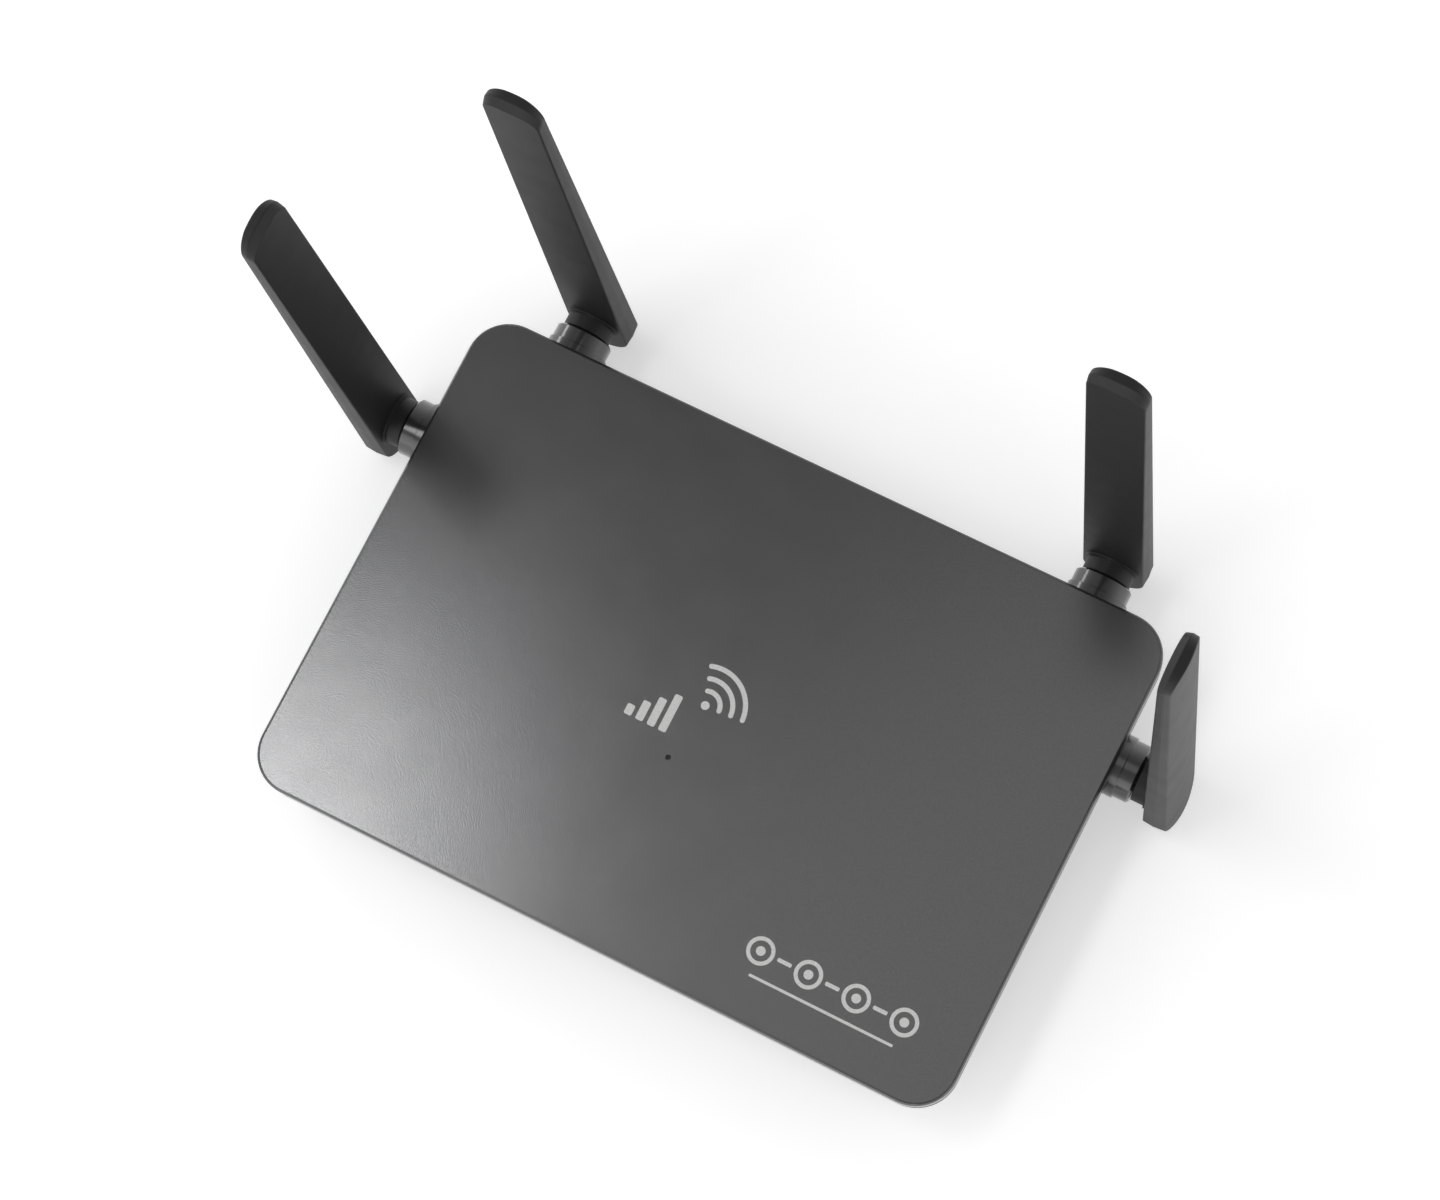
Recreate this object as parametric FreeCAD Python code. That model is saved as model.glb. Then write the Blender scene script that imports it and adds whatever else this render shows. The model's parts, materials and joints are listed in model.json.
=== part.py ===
import FreeCAD, Part
import math
import os

# Desk-top mobile-broadband router: a flat two-shell housing with four swivelling paddle antennas.
# Millimetres, +Z up, z = 0 on the table. Shapes are drawn about the middle of the cover in plan, and save()
# moves them so that the middle of the whole object's footprint is over the origin.

# ---- Housing -------------------------------------------------------------------------------------
COVER_W = 193.0          # size of the top cover along X
COVER_D = 133.0          # size of the top cover along Y
COVER_CORNER = 11.0      # plan radius of its corners
HEIGHT = 30.0            # table to the top of the cover
COVER_WALL = 2.2         # thickness of the cover's flat plate and of its rim
COVER_RIM = 3.2          # height of the cover's outer rim
COVER_EDGE = 0.8         # rounding of the cover's upper edge
SEAM_GAP = 0.3           # shadow line between the two shells
WALL = 2.0               # wall of the bottom housing
FLOOR = 2.0              # thickness of its floor
LIP_INSET = 0.2          # its lip lies this far inside the cover's outline
LIP_FOOT_Z = 22.5        # below this height the wall leans inward
TAPER = 8.5              # how far the wall leans in by the floor
CORNER_SHARE = 0.45      # share of the lean by which the corner radius shrinks
BASE_EDGE = 1.2          # rounding between wall and floor
TONGUE = 1.2             # thickness of the cover's inner tongue
TONGUE_GAP = 0.2         # tongue to lip
TONGUE_FOOT_Z = 24.8
TONGUE_RELIEF_R = 9.8    # room for the collars in the tongue
ROOT_HEADROOM = 0.3      # clearance of each collar's root under the cover, which is hollowed over it
RIB_XS = (-45.0, 0.0, 45.0)  # stiffening ribs under the cover
RIB_Y = -40.0
RIB_T = 1.2
RIB_LEN = 36.0
RIB_H = 2.5

# ---- Vents, keyholes, label and feet -------------------------------------------------------------
SIDE_VENTS = 12
SIDE_VENT_FIRST_Y = -48.0
SIDE_VENT_PITCH = 4.5
SIDE_VENT_W = 1.8
SIDE_VENT_Z = (7.0, 18.0)
SIDE_VENT_X = 90.0       # middle of the cut, wide enough to pass through the leaning wall
SIDE_VENT_CUT = 20.0
FLOOR_VENTS = 13
FLOOR_VENT_FIRST_X = -36.0
FLOOR_VENT_PITCH = 6.0
FLOOR_VENT_W = 2.2
FLOOR_VENT_LEN = 20.0
FLOOR_VENT_ROWS = (-38.0, 34.0)
KEYHOLE_X = 50.0         # wall-mounting keyholes, left and right of the middle
KEYHOLE_Y = 16.0
KEYHOLE_R = 4.0
KEYHOLE_NECK_R = 2.0
KEYHOLE_RISE = 8.0
LABEL_W = 62.0
LABEL_D = 26.0
LABEL_Y = -4.0
LABEL_T = 0.2
LABEL_GAP = 0.2
FOOT_H = 1.5             # free height of the rubber feet
FOOT_R = 6.0
FOOT_GAP = 0.1
FOOT_RECESS = 0.5
FOOT_EDGE = 0.5
FEET = ((-70.0, -44.0), (70.0, -44.0), (-70.0, 44.0), (70.0, 44.0))

# ---- Antennas, measured from the stub axis and from the cover's edge -----------------------------
REAR_ANTENNA_X = 73.4    # stub axes on the rear edge, left and right of the middle
SIDE_ANTENNA_Y = 32.4    # stub axes on the side edges, behind the middle
AXIS_Z = 20.2            # height of every stub axis
BLADE_TOP = 154.6        # stub axis to the blade's tip
BLADE_FOOT_DOWN = 9.0    # stub axis to the centre of the blade's round foot, below it
BLADE_BASE_HALF = 8.6    # half the blade's width at the foot, and the foot's radius
BLADE_TIP_HALF = 7.2     # half its width at the tip
BLADE_SHOULDER = 5.5     # rounding between the straight tip and the sides
BLADE_INNER_BASE = 10.8  # cover edge to the long edges of the blade's inner face, at the foot and at the tip
BLADE_INNER_TIP = 12.4
BLADE_OUTER_BASE = 17.2  # the same for its outer face
BLADE_OUTER_TIP = 15.4
BLADE_INNER_R = 110.0    # radius across the inner face, which bulges slightly
BLADE_OUTER_R = 28.0     # radius across the outer face
BLADE_DRAFT = 5.0        # degrees by which each shell's narrow sides lean in from the seam
BLADE_TIP_LEANS = {-1: 50.0, 1: 10.0}  # the same for the tip of the inner shell and of the outer shell
BLADE_EDGE = 0.45        # rounding of the blade's long edges
BLADE_WALL = 1.2
BLADE_SEAM = 14.0        # plane where the two blade shells meet
NECK_R = 6.4             # neck between the collar and the blade
NECK_RIM_R = 7.0         # low rim round the neck, on the blade
NECK_RIM_H = 0.5
SPIGOT_R = 4.5
SPIGOT_BORE_R = 2.0
SPIGOT_IN = 13.0         # how far the spigot reaches in
COLLAR_ROOT_R = 8.1      # thicker root of the collar, beside the housing
COLLAR_ROOT_OUT = 2.2
COLLAR_R = 7.6
COLLAR_OUT = 6.3
COLLAR_EDGE = 0.5
RUNNING_GAP = 0.05       # radial clearance of the spigot in the collar
SWIVEL_GAP = 0.3         # end clearance between collar and neck
FLANGE_HALF = 9.3        # flange that holds the collar inside the housing
FLANGE_T = 1.5
FLANGE_CORNER = 2.0
FLANGE_HEADROOM = 0.3    # its upper edge to the underside of the cover
SEAT_DEPTH = 8.0         # inner face of the collar's seat
SEAT_HALF = 11.0
SEAT_TOP_Z = 24.0
SEAT_BORE_R = 8.2
CLIP_R = 6.2
CLIP_GROOVE_R = 3.6
CLIP_T = 0.8
CLIP_NEAR = 9.9          # clip's face beside the flange
CLIP_MOUTH = 5.0
RADIATOR_T = 0.5
RADIATOR_W = 8.0
RADIATOR_Z = (-3.0, 112.0)
RADIATOR_SLIT_W = 1.2
RADIATOR_SLIT_Z = 50.0
PEG_R = 1.2              # pegs that hold the radiator board
PEG_HEIGHTS = (22.0, 84.0)

# ---- Rear panel ----------------------------------------------------------------------------------
PANEL_HALF = 60.0        # half-width of the recessed port panel
PANEL_Y = 57.8           # its outer face
CEILING_Z = (21.8, 23.5)
PORT_GAP = 0.15          # gap round a port in the panel
JACK_CENTRES = (10.0, -7.0, -24.0, -41.0)
JACK_W = 16.0
JACK_H = 13.2
JACK_DEPTH = 21.3
MOUTH_W = 11.8           # mouth for the plug
MOUTH_H = 6.8
MOUTH_RISE = 3.6         # mouth above the board
MOUTH_DEPTH = 14.0
LATCH_W = 6.4
LATCH_H = 1.6
LATCH_DEPTH = 9.0
CONTACTS = 8
CONTACT_PITCH = 1.02
CONTACT_W = 0.4
CONTACT_T = 0.3
CONTACT_DEPTH = (3.0, 10.5)
CONTACT_LEAN = 11.0      # degrees
DC_X = 51.5
DC_W = 9.2
DC_H = 11.0
DC_DEPTH = 14.0
DC_BORE_R = 3.1
DC_BORE_DEPTH = 10.0
DC_NOSE_R = 4.1
DC_PIN_R = 1.0
DC_PIN_LEN = 8.6
DC_PIN_EDGE = 0.4
SIM_X = 31.0
SIM_W = 17.0
SIM_DEPTH = 17.5
SIM_H = 2.0
SIM_SLOT_W = 15.6
SIM_SLOT_H = 1.1
SIM_MOUTH_H = 2.4
SIM_WINDOW = 9.0
BUTTON_X = -54.6
BUTTON_Z = 12.0
BUTTON_R = 2.4
BUTTON_OUT = 0.9         # how far the button stands out of the panel
BUTTON_GAP = 0.35
BUTTON_FLANGE_R = 3.4
BUTTON_FLANGE_T = 1.0
BUTTON_LEN = 5.4
BUTTON_EDGE = 0.4
SWITCH_W = 6.2
SWITCH_H = 7.0
SWITCH_T = 3.3
SWITCH_PLUNGER_R = 1.7
SWITCH_PLUNGER_LEN = 1.5
SWITCH_REST_GAP = 1.0    # plunger to button

# ---- Boards, screws and small pieces -------------------------------------------------------------
BOARD_HALF_X = 66.0
BOARD_Y = (-28.0, 55.3)
BOARD_Z = 6.5            # underside of the main board
BOARD_T = 1.6
BOARD_CORNER = 2.0
BOARD_HOLES = ((-61.0, -23.0), (61.0, -23.0), (-61.0, 49.5), (61.0, 49.5))
BOARD_HOLE_R = 1.6
STANDOFF_R = 3.0
SHANK_R = 1.05           # screw shank, and the hole it cuts into
SHANK_CLEAR = 0.2
SCREW_HEAD_R = 2.6
SCREW_HEAD_H = 1.8
SCREW_EDGE = 0.5
CROSS_LEN = 3.0
CROSS_W = 0.7
CROSS_DEPTH = 1.0
HOUSING_SCREWS = ((-82.0, -51.0), (82.0, -51.0), (-82.0, 51.0), (82.0, 51.0))
HOUSING_SCREW_LEN = 13.0
HOUSING_SCREW_SEAT_Z = 5.0
BOARD_SCREW_LEN = 4.0
BOSS_R = 3.5
BOSS_TOP_Z = 11.2
POST_R = 3.2
POST_HOLE_DEPTH = 9.0
PILOT_LAMP = (-2.3, -16.1)  # pilot hole in the cover, from its centre
PILOT_HOLE_R = 0.7
PIPE_R = 1.5
PIPE_GAP = 0.1
PIPE_TIP_GAP = 0.05
PIPE_FOOT = 1.2          # light pipe above the board
SLEEVE_WALL = 1.5
SLEEVE_LEN = 9.0
SLEEVE_ROOF = 0.4
LED_W = 1.6
LED_D = 1.2
LED_BASE_H = 0.5
LED_LENS_R = 0.5
LED_H = 0.8
ROUTER_CHIP = (-34.0, 2.0)
ROUTER_CHIP_W = 18.0
ROUTER_CHIP_H = 1.4
PAD_W = 20.0
PAD_T = 0.8
SINK_W = 32.0
SINK_D = 30.0
SINK_BASE = 1.6
SINK_H = 8.0
SINK_FINS = 9
SINK_FIN_T = 1.2
MEMORY_CHIP = (-34.0, -21.0)
MEMORY_CHIP_SIZE = (12.0, 9.0, 1.1)
SHIELD_SHEET = 0.3
SHIELD_EDGE = 0.4
WIFI_SHIELD = (28.0, 21.0)
WIFI_SHIELD_SIZE = (26.0, 17.0, 2.6)
MODULE_X = (4.5, 55.5)
MODULE_Y = (-21.0, 9.0)
MODULE_Z = 11.6
MODULE_T = 1.0
MODULE_TONGUE = 6.0      # narrower edge that goes into the socket
MODULE_TONGUE_INSET = 2.0
MODULE_HOLE_R = 1.3
MODULE_HOLE_IN = 2.5     # from the module's edges to its screws
MODULE_POST_R = 2.2
MODULE_SCREW_LEN = 3.4
MODULE_SHIELD_SIZE = (38.0, 25.0, 1.8)
SOCKET_X = (1.0, 9.0)
SOCKET_RISE = 2.4        # socket above the module's underside
SOCKET_SLOT_GAP = 0.1
CAPACITORS = ((46.0, 36.5), (55.0, 36.5), (-57.0, 32.0), (-57.0, -10.0))
CAPACITOR_R = 3.15
CAPACITOR_H = 7.7
CAPACITOR_EDGE = 0.4
INDUCTORS = ((48.5, 27.0), (48.5, 18.0), (-57.0, -1.0))
INDUCTOR_W = 6.0
INDUCTOR_H = 3.0
INDUCTOR_EDGE = 0.8
MAGNETICS_XS = (-35.0, -12.0)
MAGNETICS_Y = 29.0
MAGNETICS_SIZE = (15.0, 10.5, 5.5)
MAGNETICS_LIFT = 0.3

# ---- Antenna leads -------------------------------------------------------------------------------
LEAD_R = 0.65
LEAD_BEND = 6.0
LEAD_END_GAP = 0.35      # lead's tip to the radiator board
LEAD_Z = 9.9             # height of a lead at its plug
REAR_LEAD_TURN_Y = 44.0
REAR_PLUG = (59.0, 24.5)
REAR_PLUG_APPROACH = (7.0, 9.0)
SIDE_LEAD_TURN_X = 78.0
SIDE_PLUG = (58.5, 12.5)
SIDE_PLUG_APPROACH = (9.0, 5.0)
CRIMP_R = 0.95
CRIMP_LEN = 2.2
PLUG_R = 1.5
PLUG_AHEAD = 3.2         # end of the lead to the plug's centre
PLUG_H = 1.8
PLUG_BASE_W = 3.0
PLUG_BASE_H = 0.5
PLUG_POST_R = 1.0
PLUG_POST_H = 0.8

# ---- Worked-out values ---------------------------------------------------------------------------
OVER = 1.0               # how far a cut runs past the surface it opens
TOUCH = 0.01             # two heights closer than this count as equal
BLADE_REACH = 8.0        # a blade half is drawn this far from the seam before its face is cut
COVER_UNDER_Z = HEIGHT - COVER_WALL
FLANGE_TOP = COVER_UNDER_Z - FLANGE_HEADROOM - AXIS_Z
RIM_FOOT_Z = HEIGHT - COVER_RIM
LIP_TOP_Z = RIM_FOOT_Z - SEAM_GAP
FLOOR_TOP_Z = FOOT_H + FLOOR
BOARD_TOP_Z = BOARD_Z + BOARD_T
MODULE_TOP_Z = MODULE_Z + MODULE_T
MODULE_POST_X = MODULE_X[1] - MODULE_HOLE_IN
MODULE_POST_YS = (MODULE_Y[0] + MODULE_HOLE_IN, MODULE_Y[1] - MODULE_HOLE_IN)
SIM_Z = BOARD_TOP_Z + SIM_H / 2
DC_Z = BOARD_TOP_Z + DC_H / 2
BUTTON_START_Y = PANEL_Y + BUTTON_OUT - BUTTON_LEN
INNER_BULGE = BLADE_INNER_R - math.sqrt(BLADE_INNER_R ** 2 - BLADE_BASE_HALF ** 2)
OUTER_BULGE = BLADE_OUTER_R - math.sqrt(BLADE_OUTER_R ** 2 - BLADE_BASE_HALF ** 2)
BODY_SHIFT_Y = -(BLADE_OUTER_BASE + OUTER_BULGE) / 2
BLADE_LEAN = math.atan2(BLADE_BASE_HALF - BLADE_TIP_HALF, BLADE_TOP + BLADE_FOOT_DOWN)
BLADE_FOOT_Z = -BLADE_FOOT_DOWN - BLADE_BASE_HALF
V = FreeCAD.Vector
ORIGIN = V(0, 0, 0)
X_AXIS = V(1, 0, 0)
Y_AXIS = V(0, 1, 0)
Z_AXIS = V(0, 0, 1)
# Broad faces of the blade, -1 toward the housing and 1 away: radius across, and where its long edges lie.
BLADE_FACES = {
    -1: (BLADE_INNER_R, BLADE_INNER_BASE, BLADE_INNER_TIP),
    1: (BLADE_OUTER_R, BLADE_OUTER_BASE, BLADE_OUTER_TIP),
}
# Antenna stations: name, where the stub axis crosses the cover's edge, and the turn about Z from facing +Y.
STATIONS = (
    ("rear_left", -REAR_ANTENNA_X, COVER_D / 2, 0.0),
    ("rear_right", REAR_ANTENNA_X, COVER_D / 2, 0.0),
    ("left", -COVER_W / 2, SIDE_ANTENNA_Y, 90.0),
    ("right", COVER_W / 2, SIDE_ANTENNA_Y, -90.0),
)


# ---- Helpers -------------------------------------------------------------------------------------
def block(x0, x1, y0, y1, z0, z1):
    return Part.makeBox(x1 - x0, y1 - y0, z1 - z0, V(x0, y0, z0))


def centred_block(x, y, width, depth, z0, z1):
    return block(x - width / 2, x + width / 2, y - depth / 2, y + depth / 2, z0, z1)


def pillar(radius, x, y, z0, z1):
    return Part.makeCylinder(radius, z1 - z0, V(x, y, z0), Z_AXIS)


def rod_y(radius, x, z, y0, y1):
    return Part.makeCylinder(radius, y1 - y0, V(x, y0, z), Y_AXIS)


def rounded_outline(inset, z):
    """Closed wire of the cover's outline at height z, pulled in by inset."""
    half_x = COVER_W / 2 - inset
    half_y = COVER_D / 2 - inset
    return rectangle_outline(half_x, half_y, COVER_CORNER - CORNER_SHARE * inset, z)


def rectangle_outline(half_x, half_y, radius, z):
    """Closed wire of a rectangle with round corners, centred on the Z axis."""
    arcs = []
    for quarter, (sign_x, sign_y) in enumerate(((1, 1), (-1, 1), (-1, -1), (1, -1))):
        centre = V(sign_x * (half_x - radius), sign_y * (half_y - radius), z)
        angles = [math.radians(90.0 * quarter + turn) for turn in (0.0, 45.0, 90.0)]
        points = [centre + V(math.cos(a), math.sin(a), 0) * radius for a in angles]
        arcs.append(Part.Arc(*points).toShape())
    loop = []
    for arc, following in zip(arcs, arcs[1:] + arcs[:1]):
        loop.append(arc)
        loop.append(Part.LineSegment(arc.Vertexes[-1].Point, following.Vertexes[0].Point).toShape())
    return Part.Wire(loop)


def slab(inset, z0, z1):
    """Upright slab with the cover's outline, pulled in by inset."""
    return Part.Face(rounded_outline(inset, z0)).extrude(V(0, 0, z1 - z0))


def tapered_slab(inset_foot, inset_top, z0, z1):
    """Slab with the cover's outline, pulled in by inset_foot at z0 and by inset_top at z1."""
    return Part.makeLoft([rounded_outline(inset_foot, z0), rounded_outline(inset_top, z1)], True, True)


def at_height(shape, z):
    """Edges of a shape that lie in the level plane at height z."""
    level = []
    for edge in shape.Edges:
        box = edge.BoundBox
        if abs(box.ZMin - z) < TOUCH and abs(box.ZMax - z) < TOUCH:
            level.append(edge)
    return level


def placed(shape, station):
    """Move a shape drawn about a stub axis, facing +Y, to one antenna station."""
    name, x, y, turn = station
    moved = shape.copy()
    moved.rotate(ORIGIN, Z_AXIS, turn)
    moved.translate(V(x, y, AXIS_Z))
    return moved


def tube(points, radius, bend):
    """Round lead along straight runs, with a tangent arc at each inner point."""
    edges = []
    here = points[0]
    for before, corner, after in zip(points, points[1:], points[2:]):
        back = (before - corner).normalize()
        ahead = (after - corner).normalize()
        half_turn = (math.pi - back.getAngle(ahead)) / 2
        reach = bend * math.tan(half_turn)
        enter = corner + back * reach
        leave = corner + ahead * reach
        inward = (back + ahead).normalize()
        middle = corner + inward * (bend / math.cos(half_turn) - bend)
        edges.append(Part.LineSegment(here, enter).toShape())
        edges.append(Part.Arc(enter, middle, leave).toShape())
        here = leave
    edges.append(Part.LineSegment(here, points[-1]).toShape())
    section = Part.Wire(Part.Circle(points[0], points[1] - points[0], radius).toShape())
    return Part.Wire(edges).makePipeShell([section], True, False)


def save(name, shape):
    moved = shape.copy()
    moved.translate(V(0, BODY_SHIFT_Y, 0))
    moved.exportStep("parts/" + name + ".step")


# ---- Top cover -----------------------------------------------------------------------------------
def cover_plate():
    plate = slab(0, RIM_FOOT_Z, HEIGHT)
    plate = plate.makeFillet(COVER_EDGE, at_height(plate, HEIGHT))
    return plate.cut(slab(COVER_WALL, RIM_FOOT_Z - OVER, COVER_UNDER_Z))


def cover_tongue():
    """Thin wall that reaches down inside the housing's lip, open where the collars come through."""
    inset = LIP_INSET + WALL + TONGUE_GAP
    tongue = slab(inset, TONGUE_FOOT_Z, COVER_UNDER_Z)
    tongue = tongue.cut(slab(inset + TONGUE, TONGUE_FOOT_Z - OVER, HEIGHT))
    relief = rod_y(TONGUE_RELIEF_R, 0, 0, -2 * SEAT_DEPTH, 0)
    return tongue.cut(Part.makeCompound([placed(relief, station) for station in STATIONS]))


def top_cover():
    x, y = PILOT_LAMP
    additions = [cover_tongue(), pillar(PIPE_R + SLEEVE_WALL, x, y, COVER_UNDER_Z - SLEEVE_LEN, COVER_UNDER_Z)]
    cuts = [
        pillar(PIPE_R + PIPE_GAP, x, y, COVER_UNDER_Z - SLEEVE_LEN - OVER, COVER_UNDER_Z - SLEEVE_ROOF),
        pillar(PILOT_HOLE_R, x, y, COVER_UNDER_Z - OVER, HEIGHT + OVER),
    ]
    hollow = rod_y(COLLAR_ROOT_R + ROOT_HEADROOM, 0, 0, -SEAT_DEPTH - ROOT_HEADROOM, OVER)
    cuts += [placed(hollow, station) for station in STATIONS]
    for rib_x in RIB_XS:
        additions.append(centred_block(rib_x, RIB_Y, RIB_T, RIB_LEN, COVER_UNDER_Z - RIB_H, COVER_UNDER_Z))
    for post_x, post_y in HOUSING_SCREWS:
        additions.append(pillar(POST_R, post_x, post_y, BOSS_TOP_Z, COVER_UNDER_Z))
        cuts.append(pillar(SHANK_R, post_x, post_y, BOSS_TOP_Z - OVER, BOSS_TOP_Z + POST_HOLE_DEPTH))
    return cover_plate().fuse(additions).cut(Part.makeCompound(cuts)).removeSplitter()


# ---- Bottom housing ------------------------------------------------------------------------------
def housing_envelope():
    """Outer form of the bottom housing: an upright lip over a wall that leans inward to the floor."""
    wall = tapered_slab(LIP_INSET + TAPER, LIP_INSET, FOOT_H, LIP_FOOT_Z)
    wall = wall.makeFillet(BASE_EDGE, at_height(wall, FOOT_H))
    return wall.fuse(slab(LIP_INSET, LIP_FOOT_Z, LIP_TOP_Z))


def housing_hollow():
    inset = LIP_INSET + WALL
    lean = TAPER * (LIP_FOOT_Z - FLOOR_TOP_Z) / (LIP_FOOT_Z - FOOT_H)
    wall = tapered_slab(inset + lean, inset, FLOOR_TOP_Z, LIP_FOOT_Z)
    return wall.fuse(slab(inset, LIP_FOOT_Z, LIP_TOP_Z + OVER))


def port_bay():
    """Room under the cover's rear edge, where plugs reach the ports."""
    return block(-PANEL_HALF, PANEL_HALF, PANEL_Y, COVER_D, FOOT_H - OVER, CEILING_Z[0])


def port_panel(envelope):
    """Upright recessed wall for the ports, with its cheeks and ceiling."""
    cheek = PANEL_HALF + WALL
    panel = block(-cheek, cheek, PANEL_Y - WALL, COVER_D, FOOT_H, CEILING_Z[1])
    return panel.common(envelope).cut(port_bay())


def vents():
    slots = []
    for step in range(SIDE_VENTS):
        y = SIDE_VENT_FIRST_Y + SIDE_VENT_PITCH * step
        for x in (-SIDE_VENT_X, SIDE_VENT_X):
            slots.append(centred_block(x, y, SIDE_VENT_CUT, SIDE_VENT_W, *SIDE_VENT_Z))
    for step in range(FLOOR_VENTS):
        x = FLOOR_VENT_FIRST_X + FLOOR_VENT_PITCH * step
        for y in FLOOR_VENT_ROWS:
            slots.append(centred_block(x, y, FLOOR_VENT_W, FLOOR_VENT_LEN, FOOT_H - OVER, FLOOR_TOP_Z + OVER))
    return slots


def keyhole(x):
    span = (FOOT_H - OVER, FLOOR_TOP_Z + OVER)
    end_y = KEYHOLE_Y + KEYHOLE_RISE
    neck = block(x - KEYHOLE_NECK_R, x + KEYHOLE_NECK_R, KEYHOLE_Y, end_y, *span)
    return pillar(KEYHOLE_R, x, KEYHOLE_Y, *span).fuse([neck, pillar(KEYHOLE_NECK_R, x, end_y, *span)])


def port_cutouts():
    through = (PANEL_Y - WALL - OVER, PANEL_Y + OVER)
    half = JACK_W / 2 + PORT_GAP
    cuts = [
        block(x - half, x + half, *through, BOARD_TOP_Z - PORT_GAP, BOARD_TOP_Z + JACK_H + PORT_GAP)
        for x in JACK_CENTRES
    ]
    half = SIM_SLOT_W / 2 + PORT_GAP
    cuts.append(block(SIM_X - half, SIM_X + half, *through, SIM_Z - SIM_MOUTH_H / 2, SIM_Z + SIM_MOUTH_H / 2))
    cuts.append(rod_y(DC_NOSE_R + PORT_GAP, DC_X, DC_Z, *through))
    cuts.append(rod_y(BUTTON_R + BUTTON_GAP, BUTTON_X, BUTTON_Z, *through))
    return cuts


def floor_cutouts():
    label_w = LABEL_W + 2 * LABEL_GAP
    label_d = LABEL_D + 2 * LABEL_GAP
    cuts = [centred_block(0, LABEL_Y, label_w, label_d, FOOT_H - OVER, FOOT_H + LABEL_T)]
    for x, y in FEET:
        cuts.append(pillar(FOOT_R + FOOT_GAP, x, y, FOOT_H - OVER, FOOT_H + FOOT_RECESS))
    for x, y in HOUSING_SCREWS:
        cuts.append(pillar(SCREW_HEAD_R + SHANK_CLEAR, x, y, FOOT_H - OVER, HOUSING_SCREW_SEAT_Z))
        cuts.append(pillar(SHANK_R + SHANK_CLEAR, x, y, FOOT_H, BOSS_TOP_Z + OVER))
    for x, y in BOARD_HOLES:
        cuts.append(pillar(SHANK_R, x, y, FLOOR_TOP_Z, BOARD_Z + OVER))
    return cuts + [keyhole(-KEYHOLE_X), keyhole(KEYHOLE_X)]


def bottom_housing():
    envelope = housing_envelope()
    seat = block(-SEAT_HALF, SEAT_HALF, -SEAT_DEPTH, OVER, FOOT_H - AXIS_Z, SEAT_TOP_Z - AXIS_Z)
    bore = rod_y(SEAT_BORE_R, 0, 0, -SEAT_DEPTH - OVER, OVER)
    additions = [port_panel(envelope)]
    additions += [placed(seat, station).common(envelope) for station in STATIONS]
    additions += [pillar(BOSS_R, x, y, FOOT_H, BOSS_TOP_Z) for x, y in HOUSING_SCREWS]
    additions += [pillar(STANDOFF_R, x, y, FOOT_H, BOARD_Z) for x, y in BOARD_HOLES]
    cuts = [placed(bore, station) for station in STATIONS]
    cuts += vents() + port_cutouts() + floor_cutouts()
    housing = envelope.cut(housing_hollow()).cut(port_bay()).fuse(additions)
    return housing.cut(Part.makeCompound(cuts)).removeSplitter()


def rubber_foot(x, y):
    foot = pillar(FOOT_R, x, y, 0.0, FOOT_H + FOOT_RECESS)
    return foot.makeFillet(FOOT_EDGE, at_height(foot, 0.0))


# ---- Screws --------------------------------------------------------------------------------------
def screw(x, y, seat_z, length, head_up):
    """Pan-head screw with a cross recess, its head on the seat and its shank beyond it."""
    head = pillar(SCREW_HEAD_R, 0, 0, 0, SCREW_HEAD_H)
    head = head.makeFillet(SCREW_EDGE, at_height(head, SCREW_HEAD_H))
    recess = (SCREW_HEAD_H - CROSS_DEPTH, SCREW_HEAD_H + OVER)
    cross = centred_block(0, 0, CROSS_LEN, CROSS_W, *recess).fuse(centred_block(0, 0, CROSS_W, CROSS_LEN, *recess))
    whole = head.fuse(pillar(SHANK_R, 0, 0, -length, 0)).cut(cross)
    if not head_up:
        whole.rotate(ORIGIN, X_AXIS, 180.0)
    whole.translate(V(x, y, seat_z))
    return whole


def screws(places, seat_z, length, head_up):
    return Part.makeCompound([screw(x, y, seat_z, length, head_up) for x, y in places])


# ---- Antennas, drawn about the stub axis, facing +Y ----------------------------------------------
def along_blade(at_base, at_tip, z):
    return at_base + (at_tip - at_base) * (z - BLADE_FOOT_Z) / (BLADE_TOP - BLADE_FOOT_Z)


def blade_outline(inset, y, tip_drop):
    """Round foot below the stub axis, straight sides that draw in, rounded shoulders and a straight tip."""
    foot = BLADE_BASE_HALF - inset
    shoulder = BLADE_SHOULDER - inset
    centre_z = BLADE_TOP - BLADE_SHOULDER - tip_drop
    above_foot = centre_z + BLADE_FOOT_DOWN
    to_side = BLADE_BASE_HALF - BLADE_SHOULDER - above_foot * math.sin(BLADE_LEAN)
    centre_x = to_side / math.cos(BLADE_LEAN)
    middle_turn = (BLADE_LEAN + math.pi / 2) / 2
    foot_x = foot * math.cos(BLADE_LEAN)
    foot_z = foot * math.sin(BLADE_LEAN) - BLADE_FOOT_DOWN
    corners = {}
    for hand in (-1, 1):
        turns = (BLADE_LEAN, middle_turn, math.pi / 2)
        corners[hand] = [
            V(hand * (centre_x + shoulder * math.cos(turn)), y, centre_z + shoulder * math.sin(turn))
            for turn in turns
        ]
    right_foot = V(foot_x, y, foot_z)
    left_foot = V(-foot_x, y, foot_z)
    return Part.Wire([
        Part.Arc(left_foot, V(0, y, -BLADE_FOOT_DOWN - foot), right_foot).toShape(),
        Part.LineSegment(right_foot, corners[1][0]).toShape(),
        Part.Arc(*corners[1]).toShape(),
        Part.LineSegment(corners[1][2], corners[-1][2]).toShape(),
        Part.Arc(*reversed(corners[-1])).toShape(),
        Part.LineSegment(corners[-1][0], left_foot).toShape(),
    ])


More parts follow.
